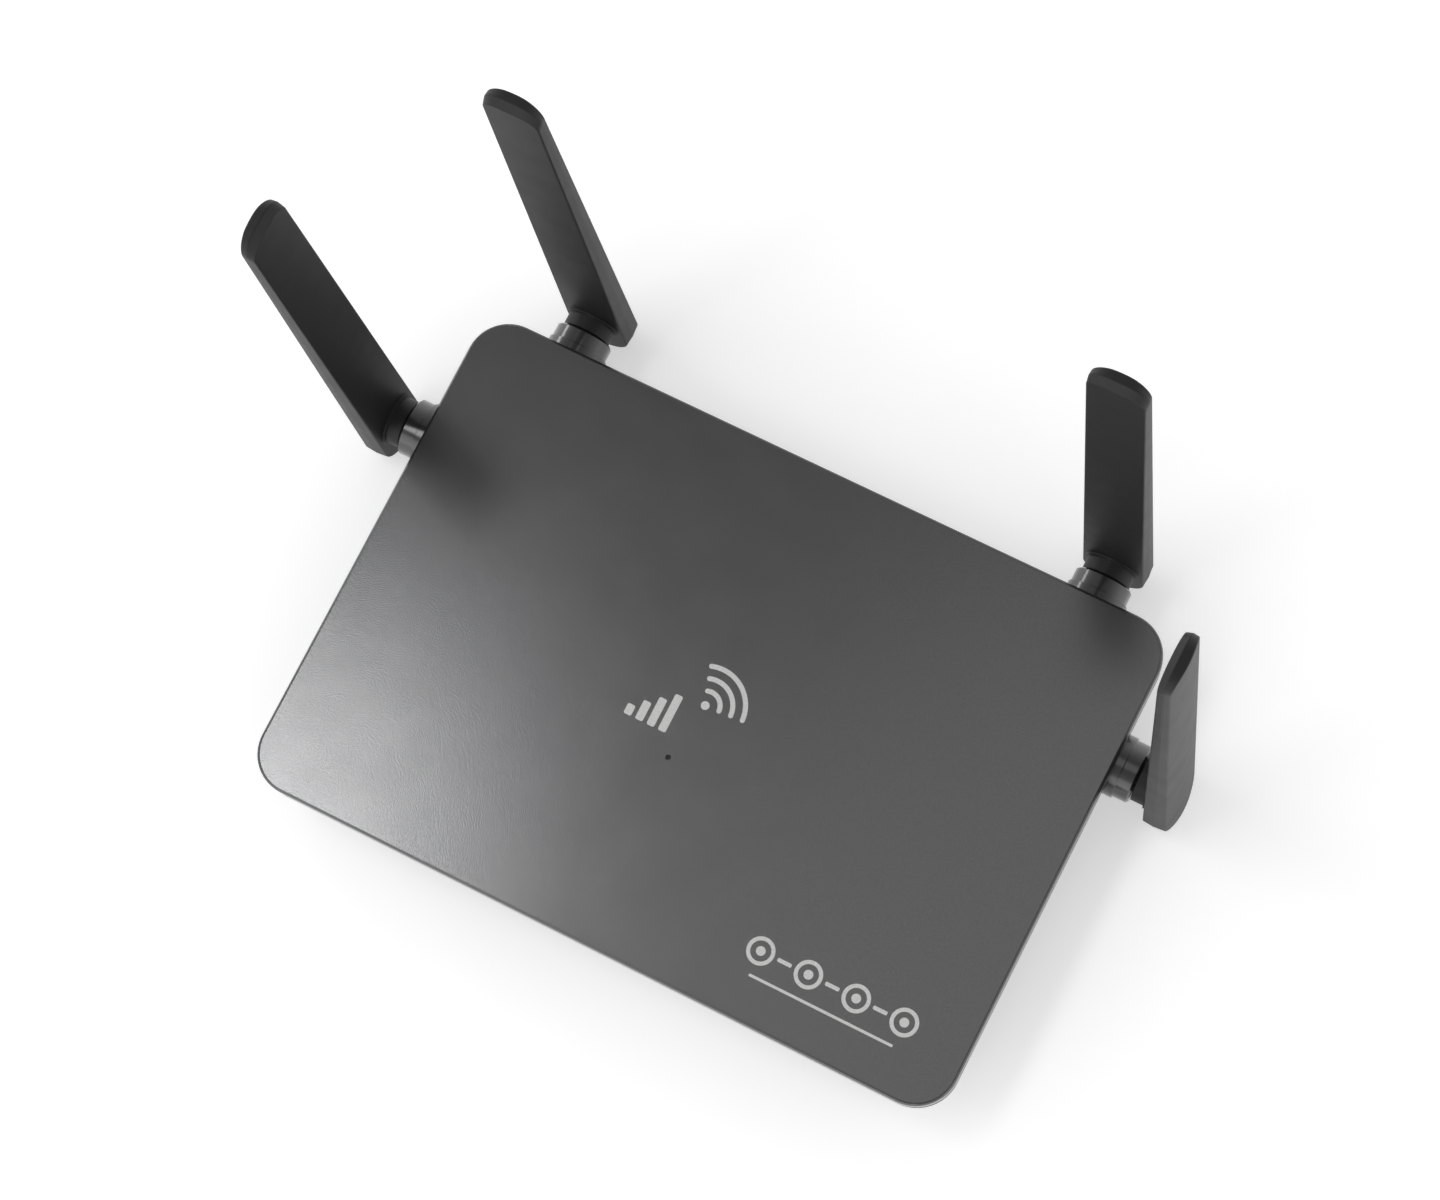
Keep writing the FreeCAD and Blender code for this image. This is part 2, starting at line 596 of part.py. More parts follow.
def face_roller(inset, outward):
    """Cylinder along the blade whose side is one bulging broad face, pulled in by inset."""
    radius, at_base, at_tip = BLADE_FACES[outward]
    ends = []
    for z in (BLADE_FOOT_Z - OVER, BLADE_TOP + OVER):
        half = along_blade(BLADE_BASE_HALF, BLADE_TIP_HALF, z)
        to_edge = math.sqrt(radius ** 2 - half ** 2)
        ends.append(V(0, along_blade(at_base, at_tip, z) - outward * to_edge, z))
    rise = ends[1] - ends[0]
    roller = Part.makeCylinder(radius - inset, rise.Length, ends[0], rise)
    roller.rotate(ends[0], rise, 90.0 + outward * 90.0)
    return roller


def blade_half(inset, outward):
    """Drafted half of the blade form on one side of the seam, pulled in by inset all round."""
    draft = BLADE_REACH * math.tan(math.radians(BLADE_DRAFT))
    tip_drop = BLADE_REACH * math.tan(math.radians(BLADE_TIP_LEANS[outward])) - draft
    at_seam = blade_outline(inset, BLADE_SEAM, 0.0)
    beyond = blade_outline(inset + draft, BLADE_SEAM + outward * BLADE_REACH, tip_drop)
    half = Part.makeLoft([at_seam, beyond], True, True)
    return half.common(face_roller(inset, outward)).Solids[0]


def blade_shell(outward):
    """Hollow half of the blade with softened long edges, open at the seam."""
    half = blade_half(0.0, outward)
    rims = []
    for edge in half.Edges:
        nearest = min(abs(vertex.Point.y - BLADE_SEAM) for vertex in edge.Vertexes)
        if nearest > BLADE_EDGE:
            rims.append(edge)
    return half.makeFillet(BLADE_EDGE, rims).cut(blade_half(BLADE_WALL, outward))


def inner_shell():
    """Body-side half of the blade, with its neck and the spigot that turns in the collar."""
    face = along_blade(BLADE_INNER_BASE, BLADE_INNER_TIP, 0) - INNER_BULGE
    neck_start = COLLAR_OUT + SWIVEL_GAP
    additions = [
        rod_y(NECK_RIM_R, 0, 0, face - NECK_RIM_H, face + BLADE_WALL),
        rod_y(NECK_R, 0, 0, neck_start, face + BLADE_WALL),
        rod_y(SPIGOT_R, 0, 0, -SPIGOT_IN, neck_start + OVER),
    ]
    for height in PEG_HEIGHTS:
        additions.append(rod_y(PEG_R, 0, height, face + BLADE_WALL, BLADE_SEAM - RADIATOR_T / 2))
    groove = rod_y(SPIGOT_R + OVER, 0, 0, -CLIP_NEAR - CLIP_T, -CLIP_NEAR)
    groove = groove.cut(rod_y(CLIP_GROOVE_R, 0, 0, -CLIP_NEAR - CLIP_T, -CLIP_NEAR))
    bore = rod_y(SPIGOT_BORE_R, 0, 0, -SPIGOT_IN - OVER, BLADE_SEAM - OVER)
    return blade_shell(-1).fuse(additions).cut(groove).cut(bore).removeSplitter()


def radiator():
    """Thin board with a long slit, held on the inner shell's pegs."""
    low = BLADE_SEAM - RADIATOR_T / 2
    high = BLADE_SEAM + RADIATOR_T / 2
    board = block(-RADIATOR_W / 2, RADIATOR_W / 2, low, high, *RADIATOR_Z)
    half_slit = RADIATOR_SLIT_W / 2
    return board.cut(block(-half_slit, half_slit, low - OVER, high + OVER, RADIATOR_SLIT_Z, RADIATOR_Z[1] + OVER))


def retaining_clip():
    ring = rod_y(CLIP_R, 0, 0, -CLIP_NEAR - CLIP_T, -CLIP_NEAR)
    ring = ring.cut(rod_y(CLIP_GROOVE_R, 0, 0, -CLIP_NEAR - CLIP_T - OVER, -CLIP_NEAR + OVER))
    return ring.cut(block(-CLIP_MOUTH / 2, CLIP_MOUTH / 2, -CLIP_NEAR - CLIP_T - OVER, 0, -CLIP_R - OVER, 0))


def collar():
    """Fixed bearing of an antenna: a flat flange inside the housing, a thick root and a slimmer nose."""
    nose = rod_y(COLLAR_R, 0, 0, 0, COLLAR_OUT)
    nose = nose.makeChamfer(COLLAR_EDGE, [e for e in nose.Edges if e.BoundBox.YMin > COLLAR_OUT - TOUCH])
    flange_y = (-SEAT_DEPTH - FLANGE_T, -SEAT_DEPTH)
    flange = block(-FLANGE_HALF, FLANGE_HALF, *flange_y, -FLANGE_HALF, FLANGE_TOP)
    flange = flange.makeFillet(FLANGE_CORNER, [e for e in flange.Edges if e.BoundBox.YLength > FLANGE_T / 2])
    root = rod_y(COLLAR_ROOT_R, 0, 0, -SEAT_DEPTH, COLLAR_ROOT_OUT)
    bore = rod_y(SPIGOT_R + RUNNING_GAP, 0, 0, flange_y[0] - OVER, COLLAR_OUT + OVER)
    return root.fuse([nose, flange]).cut(bore).removeSplitter()


def save_antennas():
    pieces = {
        "inner_shell": inner_shell(),
        "outer_shell": blade_shell(1),
        "radiator": radiator(),
        "clip": retaining_clip(),
        "collar": collar(),
    }
    for station in STATIONS:
        for name, shape in pieces.items():
            save(station[0] + "_antenna_" + name, placed(shape, station))


# ---- Antenna leads -------------------------------------------------------------------------------
def lead_routes():
    """Route of each lead: in along its stub axis, then down to its plug on the main board."""
    reach = BLADE_SEAM - RADIATOR_T / 2 - LEAD_END_GAP
    rear_x, rear_y = REAR_PLUG
    side_x, side_y = SIDE_PLUG
    routes = {}
    for hand, prefix in ((-1, "left"), (1, "right")):
        routes["rear_" + prefix] = [
            V(hand * REAR_ANTENNA_X, COVER_D / 2 + reach, AXIS_Z),
            V(hand * REAR_ANTENNA_X, REAR_LEAD_TURN_Y, AXIS_Z),
            V(hand * (rear_x + REAR_PLUG_APPROACH[0]), rear_y + REAR_PLUG_APPROACH[1], LEAD_Z),
            V(hand * rear_x, rear_y, LEAD_Z),
        ]
        routes[prefix] = [
            V(hand * (COVER_W / 2 + reach), SIDE_ANTENNA_Y, AXIS_Z),
            V(hand * SIDE_LEAD_TURN_X, SIDE_ANTENNA_Y, AXIS_Z),
            V(hand * (side_x + SIDE_PLUG_APPROACH[0]), side_y + SIDE_PLUG_APPROACH[1], LEAD_Z),
            V(hand * side_x, side_y, LEAD_Z),
        ]
    return routes


def save_leads():
    plugs = []
    sockets = []
    for name, route in lead_routes().items():
        save(name + "_antenna_lead", tube(route, LEAD_R, LEAD_BEND))
        end = route[-1]
        heading = (end - route[-2]).normalize()
        centre = end + heading * PLUG_AHEAD
        post_z = (BOARD_TOP_Z, BOARD_TOP_Z + PLUG_POST_H)
        cap = pillar(PLUG_R, centre.x, centre.y, post_z[1], post_z[1] + PLUG_H)
        plugs.append(cap.fuse(Part.makeCylinder(CRIMP_R, CRIMP_LEN, end, heading)))
        base = centred_block(centre.x, centre.y, PLUG_BASE_W, PLUG_BASE_W, BOARD_TOP_Z, BOARD_TOP_Z + PLUG_BASE_H)
        sockets.append(base.fuse(pillar(PLUG_POST_R, centre.x, centre.y, *post_z)))
    save("coax_plugs", Part.makeCompound(plugs))
    save("coax_sockets", Part.makeCompound(sockets))


# ---- Ports ---------------------------------------------------------------------------------------
def network_jack(x):
    """Network jack with a plug mouth and its latch groove below, open to the rear."""
    jack = block(x - JACK_W / 2, x + JACK_W / 2, PANEL_Y - JACK_DEPTH, PANEL_Y, BOARD_TOP_Z, BOARD_TOP_Z + JACK_H)
    mouth_z = BOARD_TOP_Z + MOUTH_RISE
    outer_y = PANEL_Y + OVER
    mouth = block(x - MOUTH_W / 2, x + MOUTH_W / 2, PANEL_Y - MOUTH_DEPTH, outer_y, mouth_z, mouth_z + MOUTH_H)
    latch = block(x - LATCH_W / 2, x + LATCH_W / 2, PANEL_Y - LATCH_DEPTH, outer_y, mouth_z - LATCH_H, mouth_z)
    return jack.cut(mouth).cut(latch)


def jack_contacts():
    """Springy contact wires under the roof of each jack's mouth."""
    near_y = PANEL_Y - CONTACT_DEPTH[0]
    far_y = PANEL_Y - CONTACT_DEPTH[1]
    roof = BOARD_TOP_Z + MOUTH_RISE + MOUTH_H - CONTACT_T
    wires = []
    for jack_x in JACK_CENTRES:
        for number in range(CONTACTS):
            x = jack_x + (number - (CONTACTS - 1) / 2) * CONTACT_PITCH
            wire = block(x - CONTACT_W / 2, x + CONTACT_W / 2, far_y, near_y, roof - CONTACT_T, roof)
            wire.rotate(V(x, near_y, roof), X_AXIS, CONTACT_LEAN)
            wires.append(wire)
    return Part.makeCompound(wires)


def dc_jack():
    inner_y = PANEL_Y - WALL - PORT_GAP
    left = DC_X - DC_W / 2
    body = block(left, left + DC_W, PANEL_Y - DC_DEPTH, inner_y, BOARD_TOP_Z, BOARD_TOP_Z + DC_H)
    body = body.fuse(rod_y(DC_NOSE_R, DC_X, DC_Z, PANEL_Y - DC_DEPTH / 2, PANEL_Y))
    return body.cut(rod_y(DC_BORE_R, DC_X, DC_Z, PANEL_Y - DC_BORE_DEPTH, PANEL_Y + OVER)).removeSplitter()


def dc_jack_pin():
    root_y = PANEL_Y - DC_BORE_DEPTH
    pin = rod_y(DC_PIN_R, DC_X, DC_Z, root_y, root_y + DC_PIN_LEN)
    return pin.makeFillet(DC_PIN_EDGE, [e for e in pin.Edges if e.BoundBox.YMin > root_y + OVER])


def sim_socket():
    """Flat sheet-metal socket with a card slot to the rear and a window in its top."""
    rear_y = PANEL_Y - WALL - PORT_GAP
    left = SIM_X - SIM_W / 2
    top_z = BOARD_TOP_Z + SIM_H
    shell = block(left, left + SIM_W, rear_y - SIM_DEPTH, rear_y, BOARD_TOP_Z, top_z)
    slot_x = (SIM_X - SIM_SLOT_W / 2, SIM_X + SIM_SLOT_W / 2)
    slot = block(*slot_x, PANEL_Y - SIM_DEPTH, PANEL_Y, SIM_Z - SIM_SLOT_H / 2, SIM_Z + SIM_SLOT_H / 2)
    window = centred_block(SIM_X, rear_y - SIM_DEPTH / 2, SIM_WINDOW, SIM_WINDOW, SIM_Z, top_z + OVER)
    return shell.cut(slot).cut(window)


def reset_button():
    cap = rod_y(BUTTON_R, BUTTON_X, BUTTON_Z, BUTTON_START_Y, PANEL_Y + BUTTON_OUT)
    cap = cap.makeFillet(BUTTON_EDGE, [e for e in cap.Edges if e.BoundBox.YMin > PANEL_Y])
    flange = rod_y(BUTTON_FLANGE_R, BUTTON_X, BUTTON_Z, BUTTON_START_Y, BUTTON_START_Y + BUTTON_FLANGE_T)
    return cap.fuse(flange).removeSplitter()


def reset_switch():
    tip_y = BUTTON_START_Y - SWITCH_REST_GAP
    face_y = tip_y - SWITCH_PLUNGER_LEN + OVER / 2
    left = BUTTON_X - SWITCH_W / 2
    body = block(left, left + SWITCH_W, face_y - SWITCH_T, face_y, BOARD_TOP_Z, BOARD_TOP_Z + SWITCH_H)
    return body.fuse(rod_y(SWITCH_PLUNGER_R, BUTTON_X, BUTTON_Z, tip_y - SWITCH_PLUNGER_LEN, tip_y))


# ---- Boards and what they carry ------------------------------------------------------------------
def main_board():
    half_y = (BOARD_Y[1] - BOARD_Y[0]) / 2
    outline = rectangle_outline(BOARD_HALF_X, half_y, BOARD_CORNER, BOARD_Z)
    board = Part.Face(outline).extrude(V(0, 0, BOARD_T))
    board.translate(V(0, BOARD_Y[0] + half_y, 0))
    span = (BOARD_Z - OVER, BOARD_TOP_Z + OVER)
    return board.cut(Part.makeCompound([pillar(BOARD_HOLE_R, x, y, *span) for x, y in BOARD_HOLES]))


def status_led():
    x, y = PILOT_LAMP
    base = centred_block(x, y, LED_W, LED_D, BOARD_TOP_Z, BOARD_TOP_Z + LED_BASE_H)
    return base.fuse(pillar(LED_LENS_R, x, y, BOARD_TOP_Z, BOARD_TOP_Z + LED_H))


def light_pipe():
    """Clear rod in the cover's sleeve, with a thin tip in the pilot hole."""
    x, y = PILOT_LAMP
    foot_z = BOARD_TOP_Z + PIPE_FOOT
    rod = pillar(PIPE_R, x, y, foot_z, COVER_UNDER_Z - SLEEVE_ROOF - PIPE_GAP)
    return rod.fuse(pillar(PILOT_HOLE_R - PIPE_TIP_GAP, x, y, foot_z + OVER, HEIGHT - PIPE_GAP))


def router_chip():
    return centred_block(*ROUTER_CHIP, ROUTER_CHIP_W, ROUTER_CHIP_W, BOARD_TOP_Z, BOARD_TOP_Z + ROUTER_CHIP_H)


def thermal_pad():
    chip_z = BOARD_TOP_Z + ROUTER_CHIP_H
    return centred_block(*ROUTER_CHIP, PAD_W, PAD_W, chip_z, chip_z + PAD_T)


def heat_sink():
    x, y = ROUTER_CHIP
    base_z = BOARD_TOP_Z + ROUTER_CHIP_H + PAD_T
    pitch = (SINK_W - SINK_FIN_T) / (SINK_FINS - 1)
    first_x = x - (SINK_W - SINK_FIN_T) / 2
    fins = [
        centred_block(first_x + pitch * step, y, SINK_FIN_T, SINK_D, base_z, base_z + SINK_H)
        for step in range(SINK_FINS)
    ]
    return centred_block(x, y, SINK_W, SINK_D, base_z, base_z + SINK_BASE).fuse(fins).removeSplitter()


def memory_chip():
    width, depth, height = MEMORY_CHIP_SIZE
    return centred_block(*MEMORY_CHIP, width, depth, BOARD_TOP_Z, BOARD_TOP_Z + height)


def shield_can(x, y, z, size):
    width, depth, height = size
    can = centred_block(x, y, width, depth, z, z + height)
    upright = [e for e in can.Edges if e.BoundBox.ZLength > height / 2]
    can = can.makeFillet(SHIELD_EDGE, upright + at_height(can, z + height))
    inner_w = width - 2 * SHIELD_SHEET
    inner_d = depth - 2 * SHIELD_SHEET
    return can.cut(centred_block(x, y, inner_w, inner_d, z - OVER, z + height - SHIELD_SHEET))


def lte_module_board():
    inset = MODULE_TONGUE_INSET
    tongue_x = (MODULE_X[0], MODULE_X[0] + MODULE_TONGUE)
    tongue = block(*tongue_x, MODULE_Y[0] + inset, MODULE_Y[1] - inset, MODULE_Z, MODULE_TOP_Z)
    board = block(SOCKET_X[1] + SOCKET_SLOT_GAP, MODULE_X[1], *MODULE_Y, MODULE_Z, MODULE_TOP_Z)
    span = (MODULE_Z - OVER, MODULE_TOP_Z + OVER)
    holes = [pillar(MODULE_HOLE_R, MODULE_POST_X, y, *span) for y in MODULE_POST_YS]
    return board.fuse(tongue).removeSplitter().cut(Part.makeCompound(holes))


def lte_module_socket():
    gap = SOCKET_SLOT_GAP
    inset = MODULE_TONGUE_INSET - gap
    body = block(*SOCKET_X, *MODULE_Y, BOARD_TOP_Z, MODULE_Z + SOCKET_RISE)
    slot_y = (MODULE_Y[0] + inset, MODULE_Y[1] - inset)
    return body.cut(block(MODULE_X[0] - gap, SOCKET_X[1] + OVER, *slot_y, MODULE_Z - gap, MODULE_TOP_Z + gap))


def module_standoffs():
    posts = []
    for y in MODULE_POST_YS:
        post = pillar(MODULE_POST_R, MODULE_POST_X, y, BOARD_TOP_Z, MODULE_Z)
        posts.append(post.cut(pillar(SHANK_R, MODULE_POST_X, y, BOARD_TOP_Z, MODULE_Z + OVER)))
    return Part.makeCompound(posts)


def capacitors():
    cans = []
    for x, y in CAPACITORS:
        can = pillar(CAPACITOR_R, x, y, BOARD_TOP_Z, BOARD_TOP_Z + CAPACITOR_H)
        cans.append(can.makeFillet(CAPACITOR_EDGE, at_height(can, BOARD_TOP_Z + CAPACITOR_H)))
    return Part.makeCompound(cans)


def inductors():
    coils = []
    for x, y in INDUCTORS:
        coil = centred_block(x, y, INDUCTOR_W, INDUCTOR_W, BOARD_TOP_Z, BOARD_TOP_Z + INDUCTOR_H)
        upright = [e for e in coil.Edges if e.BoundBox.ZLength > INDUCTOR_H / 2]
        coils.append(coil.makeFillet(INDUCTOR_EDGE, upright))
    return Part.makeCompound(coils)


def network_magnetics():
    width, depth, height = MAGNETICS_SIZE
    low = BOARD_TOP_Z + MAGNETICS_LIFT
    return Part.makeCompound([
        centred_block(x, MAGNETICS_Y, width, depth, low, low + height) for x in MAGNETICS_XS
    ])


# ---- Output --------------------------------------------------------------------------------------
def save_housing():
    save("top_cover", top_cover())
    save("bottom_housing", bottom_housing())
    save("rubber_feet", Part.makeCompound([rubber_foot(x, y) for x, y in FEET]))
    save("housing_screws", screws(HOUSING_SCREWS, HOUSING_SCREW_SEAT_Z, HOUSING_SCREW_LEN, False))
    save("blank_label", centred_block(0, LABEL_Y, LABEL_W, LABEL_D, FOOT_H, FOOT_H + LABEL_T))


def save_ports():
    for number, x in enumerate(JACK_CENTRES, 1):
        save("network_jack_" + str(number), network_jack(x))
    save("jack_contacts", jack_contacts())
    save("dc_jack", dc_jack())
    save("dc_jack_pin", dc_jack_pin())
    save("sim_socket", sim_socket())
    save("reset_button", reset_button())
    save("reset_switch", reset_switch())


def save_boards():
    module_posts = [(MODULE_POST_X, y) for y in MODULE_POST_YS]
    module_middle = (sum(MODULE_X) / 2, sum(MODULE_Y) / 2)
    save("main_board", main_board())
    save("board_screws", screws(BOARD_HOLES, BOARD_TOP_Z, BOARD_SCREW_LEN, True))
    save("status_led", status_led())
    save("light_pipe", light_pipe())
    save("router_chip", router_chip())
    save("thermal_pad", thermal_pad())
    save("heat_sink", heat_sink())
    save("memory_chip", memory_chip())
    save("wifi_shield", shield_can(*WIFI_SHIELD, BOARD_TOP_Z, WIFI_SHIELD_SIZE))
    save("network_magnetics", network_magnetics())
    save("capacitors", capacitors())
    save("inductors", inductors())
    save("lte_module_board", lte_module_board())
    save("lte_module_shield", shield_can(*module_middle, MODULE_TOP_Z, MODULE_SHIELD_SIZE))
    save("lte_module_socket", lte_module_socket())
    save("module_standoffs", module_standoffs())
    save("module_screws", screws(module_posts, MODULE_TOP_Z, MODULE_SCREW_LEN, True))


os.makedirs("parts", exist_ok=True)
save_housing()
save_ports()
save_boards()
save_antennas()
save_leads()
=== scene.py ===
import json
import math

import bmesh
import bpy
from mathutils import Matrix, Vector


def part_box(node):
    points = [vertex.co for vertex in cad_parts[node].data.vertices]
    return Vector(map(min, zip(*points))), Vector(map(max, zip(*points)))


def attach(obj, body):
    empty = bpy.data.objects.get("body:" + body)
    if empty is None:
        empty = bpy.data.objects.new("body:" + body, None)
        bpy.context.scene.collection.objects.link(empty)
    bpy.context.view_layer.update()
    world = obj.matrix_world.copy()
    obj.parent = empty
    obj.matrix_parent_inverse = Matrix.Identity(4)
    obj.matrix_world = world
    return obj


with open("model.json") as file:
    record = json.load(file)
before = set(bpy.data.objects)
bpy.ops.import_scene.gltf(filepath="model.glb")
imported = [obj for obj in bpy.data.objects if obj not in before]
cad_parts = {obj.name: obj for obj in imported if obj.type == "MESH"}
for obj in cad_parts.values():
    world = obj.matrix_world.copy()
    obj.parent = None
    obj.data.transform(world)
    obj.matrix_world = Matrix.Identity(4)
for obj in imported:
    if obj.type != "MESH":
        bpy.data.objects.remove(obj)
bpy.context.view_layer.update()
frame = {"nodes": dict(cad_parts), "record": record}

# Metres throughout, in the CAD frame: +Z up, +Y toward the ports, z = 0 on the table.
MM = 0.001
BEVEL_SAMPLES = 6            # rays that round an edge in a material

# ---- Camera and light -------------------------------------------------------------------------------
CAMERA_AT = (0.17263, -0.13626, 0.97964)
CAMERA_TURN = (12.869, 5.544, 27.163)
CAMERA_LENS = 98.6
FLOOR_SIZE = 12.0
# Each softbox: name, place, point it faces, width, height, power in watts.
SOFTBOXES = (
    ("key_softbox", (-0.60, -0.36, 1.73), (-0.60, 0.27, 0.03), 0.40, 1.25, 4.8),
    ("core_softbox", (-0.60, -0.05, 1.80), (-0.07, -0.08, 0.03), 0.32, 0.32, 1.1),
    ("top_softbox", (0.04, 0.15, 1.90), (0.0, 0.0, 0.03), 0.70, 1.00, 1.00),
    ("front_softbox", (-0.35, -1.50, 0.60), (0.0, 0.0, 0.05), 2.60, 1.10, 5.0),
    ("left_softbox", (-1.50, 0.25, 0.50), (-0.07, 0.07, 0.02), 0.40, 0.30, 1.6),
    ("right_softbox", (1.50, -0.30, 0.60), (0.05, 0.0, 0.05), 0.70, 0.50, 0.8),
)
HORIZON_LIGHT = 1.20         # strength of the surround at the horizon and overhead
ZENITH_LIGHT = 0.24
FLOOR_GLOW = 0.38            # light that the table gives off by itself

# ---- Printed marks on the cover, in millimetres from the middle of its top --------------------------
INK_T = 0.03
INK_SINK = 0.01
WAVE_CENTRE = (0.0, -0.5)
WAVE_DOT_R = 1.1
WAVE_RADII = (3.7, 6.85, 10.0)
WAVE_STROKE = 1.25
WAVE_SPAN = (4.0, 108.0)
BARS_FOOT = (-17.5, -11.0)
BAR_W = 2.1
BAR_PITCH = 3.2
BAR_HEIGHTS = (2.8, 5.2, 7.6, 10.0)
BAR_CORNER = 0.5
CHAIN_Y = -48.6
CHAIN_XS = (40.0, 53.0, 66.0, 79.0)
CHAIN_R = 3.6
CHAIN_STROKE = 1.0
CHAIN_DOT_R = CHAIN_R / 3
CHAIN_CORNER = CHAIN_STROKE / 3
RULE_Y = -55.0
RULE_X = (40.0, 79.0)
RULE_W = 0.7
RULE_CORNER = RULE_W / 3

# ---- Straight runs that stand for the curves of the marks -------------------------------------------
DISC_STEPS = 48
RING_STEPS = 36              # each half of a ring
BAND_STEPS = 40
BAND_END_STEPS = 12
CORNER_STEPS = 8

# ---- Printed marks on the rear panel, in millimetres ------------------------------------------------
PANEL_MARK_DROP = 2.4        # mark centres below the undersides of the jacks
JACK_COUNT = 4
PORT_DOT_R = 0.42
PORT_DOT_PITCH = 1.5
INLET_RING_R = 1.25
INLET_RING_STROKE = 0.35
CARD_SIGN = ((-1.7, -1.1), (1.7, -1.1), (1.7, 1.1), (-0.9, 1.1), (-1.7, 0.3))


def cover_top():
    """Middle of the cover's top surface, in metres."""
    low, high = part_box("top_cover")
    return Vector(((low.x + high.x) / 2, (low.y + high.y) / 2, high.z))


# ---- Material building blocks -----------------------------------------------------------------------
def new_material(name, colour, roughness, metallic=0.0, **sockets):
    """Principled material; further socket values are given by name with underscores for spaces."""
    material = bpy.data.materials.new(name)
    material.use_nodes = True
    shader = material.node_tree.nodes["Principled BSDF"]
    shader.inputs["Base Color"].default_value = (*colour, 1.0)
    shader.inputs["Roughness"].default_value = roughness
    shader.inputs["Metallic"].default_value = metallic
    for socket, value in sockets.items():
        shader.inputs[socket.replace("_", " ")].default_value = value
    return material


def node(material, kind, **values):
    """New shader node; its properties are given as lower-case names."""
    made = material.node_tree.nodes.new(kind)
    for name, value in values.items():
        setattr(made, name, value)
    return made


def link(material, source, target):
    material.node_tree.links.new(source, target)


def shader_of(material):
    return material.node_tree.nodes["Principled BSDF"]


def object_position(material, stretch=(1.0, 1.0, 1.0)):
    """Position on the object in metres, stretched along each axis for brushed or ribbed patterns."""
    place = node(material, "ShaderNodeTexCoord")
    mapping = node(material, "ShaderNodeMapping")
    mapping.inputs["Scale"].default_value = stretch
    link(material, place.outputs["Object"], mapping.inputs["Vector"])
    return mapping.outputs["Vector"]


def noise(material, grain, detail=3.0, stretch=(1.0, 1.0, 1.0)):
    """Noise from 0 to 1 whose features are about grain millimetres across."""
    made = node(material, "ShaderNodeTexNoise")
    made.inputs["Scale"].default_value = 1.0 / (grain * MM)
    made.inputs["Detail"].default_value = detail
    link(material, object_position(material, stretch), made.inputs["Vector"])
    return made.outputs["Fac"]


def between(material, factor, low, high, start=0.3, end=0.7):
    """Spread a 0-to-1 pattern over the range from low to high."""
    spread = node(material, "ShaderNodeMapRange")
    spread.inputs["From Min"].default_value = start
    spread.inputs["From Max"].default_value = end
    spread.inputs["To Min"].default_value = low
    spread.inputs["To Max"].default_value = high
    link(material, factor, spread.inputs["Value"])
    return spread.outputs["Result"]


def vary_colour(material, factor, first, second, start=0.3, end=0.7):
    ramp = node(material, "ShaderNodeValToRGB")
    ramp.color_ramp.elements[0].position = start
    ramp.color_ramp.elements[0].color = (*first, 1.0)
    ramp.color_ramp.elements[1].position = end
    ramp.color_ramp.elements[1].color = (*second, 1.0)
    link(material, factor, ramp.inputs["Fac"])
    link(material, ramp.outputs["Color"], shader_of(material).inputs["Base Color"])


def vary_roughness(material, factor, low, high):
    link(material, between(material, factor, low, high), shader_of(material).inputs["Roughness"])


def add_bump(material, factor, depth, strength=1.0, edge=0.0):
    """Relief of about depth millimetres, on edges softened by a radius of edge millimetres."""
    bump = node(material, "ShaderNodeBump")
    bump.inputs["Distance"].default_value = depth * MM
    bump.inputs["Strength"].default_value = strength
    link(material, factor, bump.inputs["Height"])
    if edge:
        bevel = node(material, "ShaderNodeBevel", samples=BEVEL_SAMPLES)
        bevel.inputs["Radius"].default_value = edge * MM
        link(material, bevel.outputs["Normal"], bump.inputs["Normal"])
    link(material, bump.outputs["Normal"], shader_of(material).inputs["Normal"])


def shades(colour, spread):
    """A darker and a lighter shade of a colour."""
    return [tuple(min(1.0, part * (1.0 + side * spread)) for part in colour) for side in (-1, 1)]


# ---- Materials --------------------------------------------------------------------------------------
def cover_paint():
    material = new_material("cover_paint", (0.13, 0.13, 0.132), 0.17, 0.85)
    vary_colour(material, noise(material, 0.28, 2.0), (0.110, 0.110, 0.112), (0.150, 0.150, 0.152))
    vary_roughness(material, noise(material, 14.0), 0.175, 0.195)
    add_bump(material, noise(material, 0.35, 2.0), 0.010)
    return material


def moulded(name, colour, roughness, grain, depth, spread=0.16, edge=0.0, **sockets):
    """Moulded plastic with a fine texture, slight unevenness and softened edges."""
    material = new_material(name, colour, roughness, **sockets)
    vary_colour(material, noise(material, 6.0, 5.0), *shades(colour, spread))
    vary_roughness(material, noise(material, 9.0), roughness - 0.02, roughness + 0.02)
    add_bump(material, noise(material, grain, 2.0), depth, edge=edge)
    return material


def brushed(name, colour, roughness, stretch):
    """Rolled or brushed sheet metal, with fine lines along one axis."""
    material = new_material(name, colour, roughness, 1.0)
    lines = noise(material, 0.25, 2.0, stretch)
    vary_colour(material, lines, *shades(colour, 0.10))
    vary_roughness(material, lines, roughness - 0.06, roughness + 0.10)
    add_bump(material, lines, 0.006)
    return material


def plated(name, colour, roughness):
    """Plated metal with light handling marks."""
    material = new_material(name, colour, roughness, 1.0)
    marks = noise(material, 1.2, 4.0)
    vary_colour(material, marks, *shades(colour, 0.08))
    vary_roughness(material, marks, roughness - 0.04, roughness + 0.08)
    add_bump(material, noise(material, 0.3, 2.0), 0.004)
    return material


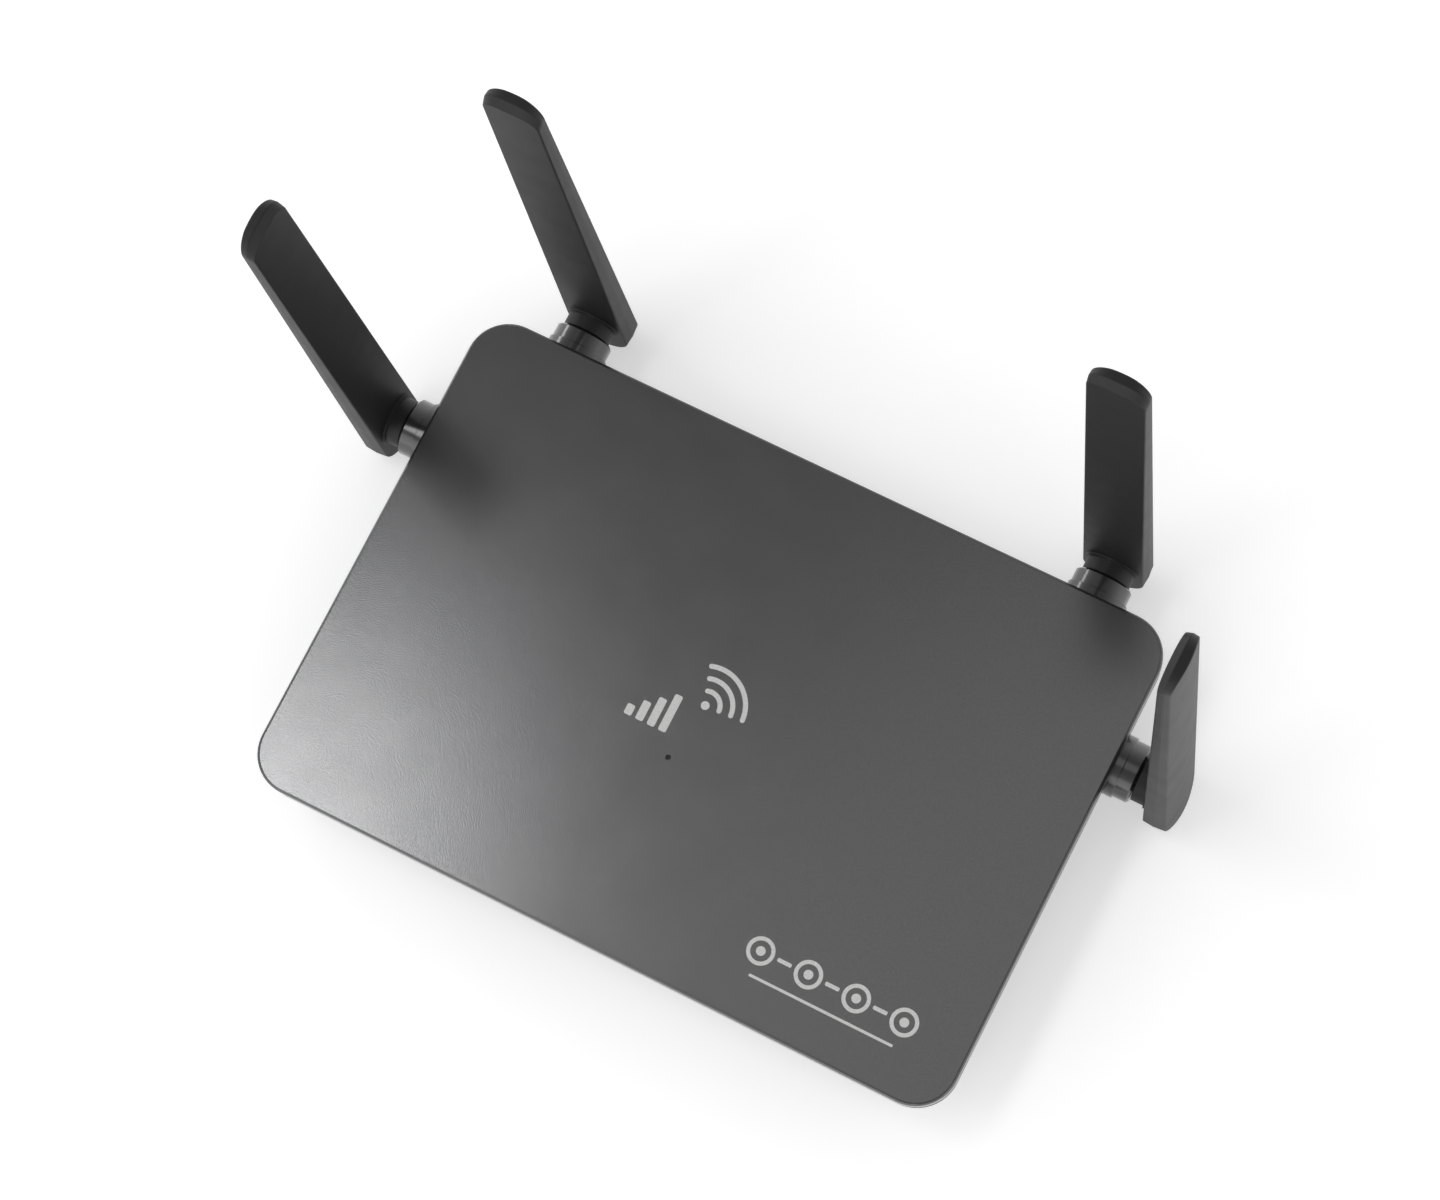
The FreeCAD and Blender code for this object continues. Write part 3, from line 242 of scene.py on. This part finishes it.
def laminate(name, mask, copper):
    """Solder mask over copper tracks, which show as slightly lighter raised cells."""
    material = new_material(name, mask, 0.35, Coat_Weight=0.4, Coat_Roughness=0.2)
    cells = node(material, "ShaderNodeTexVoronoi", feature="DISTANCE_TO_EDGE", distance="MANHATTAN")
    cells.inputs["Scale"].default_value = 1.0 / (2.4 * MM)
    link(material, object_position(material), cells.inputs["Vector"])
    vary_colour(material, cells.outputs["Distance"], mask, copper, 0.05, 0.16)
    add_bump(material, cells.outputs["Distance"], 0.03, 0.4)
    return material


def clear_plastic(name):
    material = new_material(name, (0.93, 0.95, 0.96), 0.12, IOR=1.58, Transmission_Weight=1.0)
    vary_roughness(material, noise(material, 2.0), 0.06, 0.18)
    return material


def rubber(name, colour, grain):
    material = new_material(name, colour, 0.82)
    vary_colour(material, noise(material, 1.5, 5.0), *shades(colour, 0.25))
    add_bump(material, noise(material, grain, 3.0), 0.03)
    return material


def make_materials():
    return {
        "cover_paint": cover_paint(),
        "housing_plastic": moulded("housing_plastic", (0.019, 0.019, 0.020), 0.55, 0.35, 0.030),
        "antenna_plastic": moulded("antenna_plastic", (0.011, 0.011, 0.0115), 0.50, 0.22, 0.006,
                                   spread=0.05, edge=0.3, Specular_IOR_Level=0.34),
        "collar_plastic": moulded("collar_plastic", (0.010, 0.010, 0.011), 0.22, 0.25, 0.003,
                                  edge=0.3, Specular_IOR_Level=0.7, Coat_Weight=0.7,
                                  Coat_Roughness=0.14),
        "clip_steel": brushed("clip_steel", (0.60, 0.60, 0.61), 0.30, (1.0, 1.0, 8.0)),
        "radiator_board": laminate("radiator_board", (0.012, 0.070, 0.036), (0.030, 0.140, 0.075)),
        "lead_jacket": moulded("lead_jacket", (0.030, 0.030, 0.032), 0.42, 0.30, 0.010),
        "plug_brass": plated("plug_brass", (0.80, 0.58, 0.24), 0.24),
        "board_laminate": laminate("board_laminate", (0.008, 0.058, 0.030), (0.020, 0.120, 0.062)),
        "jack_plastic": moulded("jack_plastic", (0.016, 0.016, 0.017), 0.40, 0.30, 0.012),
        "contact_gold": plated("contact_gold", (0.90, 0.66, 0.26), 0.20),
        "power_jack_plastic": moulded("power_jack_plastic", (0.013, 0.013, 0.013), 0.34, 0.30, 0.008),
        "pin_nickel": plated("pin_nickel", (0.72, 0.70, 0.67), 0.16),
        "socket_steel": brushed("socket_steel", (0.62, 0.62, 0.62), 0.26, (1.0, 10.0, 1.0)),
        "button_plastic": moulded("button_plastic", (0.20, 0.20, 0.21), 0.48, 0.25, 0.010),
        "switch_plastic": moulded("switch_plastic", (0.022, 0.022, 0.022), 0.50, 0.30, 0.012),
        "led_body": moulded("led_body", (0.80, 0.78, 0.62), 0.30, 0.20, 0.004, spread=0.06),
        "clear_pipe": clear_plastic("clear_pipe"),
        "chip_epoxy": moulded("chip_epoxy", (0.020, 0.020, 0.021), 0.62, 0.12, 0.010),
        "pad_silicone": rubber("pad_silicone", (0.35, 0.42, 0.55), 0.5),
        "sink_aluminium": brushed("sink_aluminium", (0.70, 0.71, 0.73), 0.34, (1.0, 0.08, 1.0)),
        "shield_tin": brushed("shield_tin", (0.66, 0.66, 0.64), 0.28, (6.0, 1.0, 1.0)),
        "coil_ferrite": moulded("coil_ferrite", (0.055, 0.055, 0.058), 0.66, 0.30, 0.030),
        "capacitor_can": brushed("capacitor_can", (0.74, 0.74, 0.76), 0.22, (1.0, 1.0, 6.0)),
        "screw_steel": plated("screw_steel", (0.52, 0.52, 0.53), 0.28),
        "foot_rubber": rubber("foot_rubber", (0.018, 0.018, 0.018), 0.35),
        "label_film": moulded("label_film", (0.78, 0.78, 0.77), 0.42, 0.40, 0.004, spread=0.03),
    }


def printed_ink():
    """Pale screen-printed ink, slightly uneven."""
    material = new_material("printed_ink", (0.62, 0.62, 0.61), 0.48)
    vary_colour(material, noise(material, 0.5, 4.0), (0.56, 0.56, 0.55), (0.70, 0.70, 0.69))
    add_bump(material, noise(material, 0.3, 2.0), 0.006)
    return material


def floor_material():
    """White table of frosted acrylic, lit a little from below."""
    material = new_material("studio_floor", (0.90, 0.90, 0.90), 0.75, Emission_Color=(1.0, 1.0, 1.0, 1.0),
                            Emission_Strength=FLOOR_GLOW)
    vary_colour(material, noise(material, 120.0, 3.0), (0.89, 0.89, 0.89), (0.91, 0.91, 0.91))
    return material


def paint_nodes(materials):
    """Give each CAD node the material of its slot."""
    for part in frame["record"]["subparts"]:
        for held in frame["nodes"][part["node"]].material_slots:
            held.material = materials[part["material_slot"]]


# ---- Flat shapes for printed marks ------------------------------------------------------------------
def prism(mesh, outline, low, high):
    """Upright prism between two heights over a plan outline, all in metres."""
    floor_ring = [mesh.verts.new((x, y, low)) for x, y in outline]
    roof_ring = [mesh.verts.new((x, y, high)) for x, y in outline]
    mesh.faces.new(roof_ring)
    mesh.faces.new(reversed(floor_ring))
    count = len(outline)
    for index in range(count):
        after = (index + 1) % count
        mesh.faces.new((floor_ring[index], floor_ring[after], roof_ring[after], roof_ring[index]))


def arc_points(x, y, radius, start, end, steps):
    turns = [math.radians(start + (end - start) * step / steps) for step in range(steps + 1)]
    return [(x + radius * math.cos(turn), y + radius * math.sin(turn)) for turn in turns]


def disc(x, y, radius):
    return arc_points(x, y, radius, 0.0, 360.0, DISC_STEPS)[:-1]


def arc_band(x, y, radius, stroke, start, end):
    """Band along an arc, with round ends."""
    outer = arc_points(x, y, radius + stroke / 2, start, end, BAND_STEPS)
    inner = arc_points(x, y, radius - stroke / 2, end, start, BAND_STEPS)
    caps = []
    for turn, facing in ((end, end), (start, start + 180.0)):
        angle = math.radians(turn)
        middle = (x + radius * math.cos(angle), y + radius * math.sin(angle))
        caps.append(arc_points(*middle, stroke / 2, facing, facing + 180.0, BAND_END_STEPS)[1:-1])
    return outer + caps[0] + inner + caps[1]


def rounded_bar(x0, y0, x1, y1, corner):
    corners = (
        (x1 - corner, y1 - corner, 0.0),
        (x0 + corner, y1 - corner, 90.0),
        (x0 + corner, y0 + corner, 180.0),
        (x1 - corner, y0 + corner, 270.0),
    )
    outline = []
    for x, y, start in corners:
        outline += arc_points(x, y, corner, start, start + 90.0, CORNER_STEPS)
    return outline


def mesh_object(name, mesh, material):
    data = bpy.data.meshes.new(name)
    mesh.to_mesh(data)
    mesh.free()
    made = bpy.data.objects.new(name, data)
    bpy.context.scene.collection.objects.link(made)
    data.materials.append(material)
    return made


def print_marks(name, outlines, ink, place):
    """One printed mark from outlines in millimetres, on the plane that place carries them to."""
    mesh = bmesh.new()
    for outline in outlines:
        plan = [(x * MM, y * MM) for x, y in outline]
        prism(mesh, plan, -INK_SINK * MM, INK_T * MM)
    mesh.transform(place)
    made = mesh_object(name, mesh, ink)
    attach(made, "router_body")
    return made


def cover_place():
    return Matrix.Translation(cover_top())


def panel_place():
    """Rear panel seen from behind: first axis to the right, second up, third toward the viewer."""
    panel_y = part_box("network_jack_1")[1].y
    turn = Matrix(((-1, 0, 0), (0, 0, 1), (0, 1, 0))).to_4x4()
    return Matrix.Translation((0.0, panel_y, 0.0)) @ turn


def ring(x, y, radius, stroke):
    """Ring as two half bands, measured to its outer edge."""
    halves = []
    for start in (0.0, 180.0):
        outer = arc_points(x, y, radius, start, start + 180.0, RING_STEPS)
        inner = arc_points(x, y, radius - stroke, start + 180.0, start, RING_STEPS)
        halves.append(outer + inner)
    return halves


def under_port(name):
    """Place for a mark below a port on the rear panel."""
    low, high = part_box(name)
    jack_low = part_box("network_jack_1")[0]
    return -(low.x + high.x) / 2 / MM, jack_low.z / MM - PANEL_MARK_DROP


def panel_marks(ink):
    """One to four dots to number the jacks, ring and dot at the power inlet, card sign at the SIM slot."""
    outlines = []
    for count in range(1, JACK_COUNT + 1):
        middle, y = under_port("network_jack_" + str(count))
        for step in range(count):
            x = middle + (step - (count - 1) / 2) * PORT_DOT_PITCH
            outlines.append(disc(x, y, PORT_DOT_R))
    x, y = under_port("dc_jack")
    outlines += ring(x, y, INLET_RING_R, INLET_RING_STROKE)
    outlines.append(disc(x, y, PORT_DOT_R))
    x, y = under_port("sim_socket")
    outlines.append([(x + right, y + up) for right, up in CARD_SIGN])
    return print_marks("panel_marks", outlines, ink, panel_place())


def wave_mark(ink):
    """Dot with three arcs, the common sign for a radio signal."""
    outlines = [disc(*WAVE_CENTRE, WAVE_DOT_R)]
    for radius in WAVE_RADII:
        outlines.append(arc_band(*WAVE_CENTRE, radius, WAVE_STROKE, *WAVE_SPAN))
    return print_marks("wave_mark", outlines, ink, cover_place())


def bars_mark(ink):
    """Four rising bars, the common sign for signal strength."""
    foot_x, foot_y = BARS_FOOT
    outlines = []
    for step, height in enumerate(BAR_HEIGHTS):
        x = foot_x + BAR_PITCH * step
        outlines.append(rounded_bar(x, foot_y, x + BAR_W, foot_y + height, BAR_CORNER))
    return print_marks("bars_mark", outlines, ink, cover_place())


def chain_mark(ink):
    """Plain row of linked rings with a rule below."""
    outlines = [rounded_bar(RULE_X[0], RULE_Y - RULE_W / 2, RULE_X[1], RULE_Y + RULE_W / 2, RULE_CORNER)]
    for x in CHAIN_XS:
        outlines.append(disc(x, CHAIN_Y, CHAIN_DOT_R))
        outlines += ring(x, CHAIN_Y, CHAIN_R, CHAIN_STROKE)
    for x, following in zip(CHAIN_XS, CHAIN_XS[1:]):
        left = x + CHAIN_R + CHAIN_STROKE
        right = following - CHAIN_R - CHAIN_STROKE
        half = CHAIN_STROKE / 2
        outlines.append(rounded_bar(left, CHAIN_Y - half, right, CHAIN_Y + half, CHAIN_CORNER))
    return print_marks("chain_mark", outlines, ink, cover_place())


# ---- Studio -----------------------------------------------------------------------------------------
def studio_floor():
    mesh = bmesh.new()
    half = FLOOR_SIZE / 2
    mesh.faces.new([mesh.verts.new((x, y, 0.0)) for x, y in
                    ((-half, -half), (half, -half), (half, half), (-half, half))])
    made = mesh_object("studio_floor", mesh, floor_material())


def softboxes():
    for name, place, target, width, height, power in SOFTBOXES:
        light = bpy.data.lights.new(name, "AREA")
        light.shape = "ELLIPSE"
        light.size = width
        light.size_y = height
        light.energy = power
        made = bpy.data.objects.new(name, light)
        made.location = place
        facing = Vector(target) - Vector(place)
        made.rotation_euler = facing.to_track_quat("-Z", "Y").to_euler()
        made.visible_camera = False
        bpy.context.scene.collection.objects.link(made)


def sky():
    """Plain grey surround, brighter toward the horizon than overhead."""
    world = bpy.data.worlds.new("studio")
    bpy.context.scene.world = world
    world.use_nodes = True
    tree = world.node_tree
    place = tree.nodes.new("ShaderNodeTexCoord")
    split = tree.nodes.new("ShaderNodeSeparateXYZ")
    spread = tree.nodes.new("ShaderNodeMapRange")
    spread.inputs["From Min"].default_value = 0.0
    spread.inputs["From Max"].default_value = 1.0
    spread.inputs["To Min"].default_value = HORIZON_LIGHT
    spread.inputs["To Max"].default_value = ZENITH_LIGHT
    tree.nodes["Background"].inputs["Color"].default_value = (1.0, 1.0, 1.0, 1.0)
    tree.links.new(place.outputs["Generated"], split.inputs["Vector"])
    tree.links.new(split.outputs["Z"], spread.inputs["Value"])
    tree.links.new(spread.outputs["Result"], tree.nodes["Background"].inputs["Strength"])


def camera():
    lens = bpy.data.cameras.new("camera")
    lens.lens = CAMERA_LENS
    made = bpy.data.objects.new("camera", lens)
    made.location = CAMERA_AT
    made.rotation_euler = [math.radians(turn) for turn in CAMERA_TURN]
    bpy.context.scene.collection.objects.link(made)
    bpy.context.scene.camera = made


paint_nodes(make_materials())
ink = printed_ink()
wave_mark(ink)
bars_mark(ink)
chain_mark(ink)
panel_marks(ink)
studio_floor()
softboxes()
sky()
camera()
bpy.context.scene.view_settings.view_transform = "Standard"
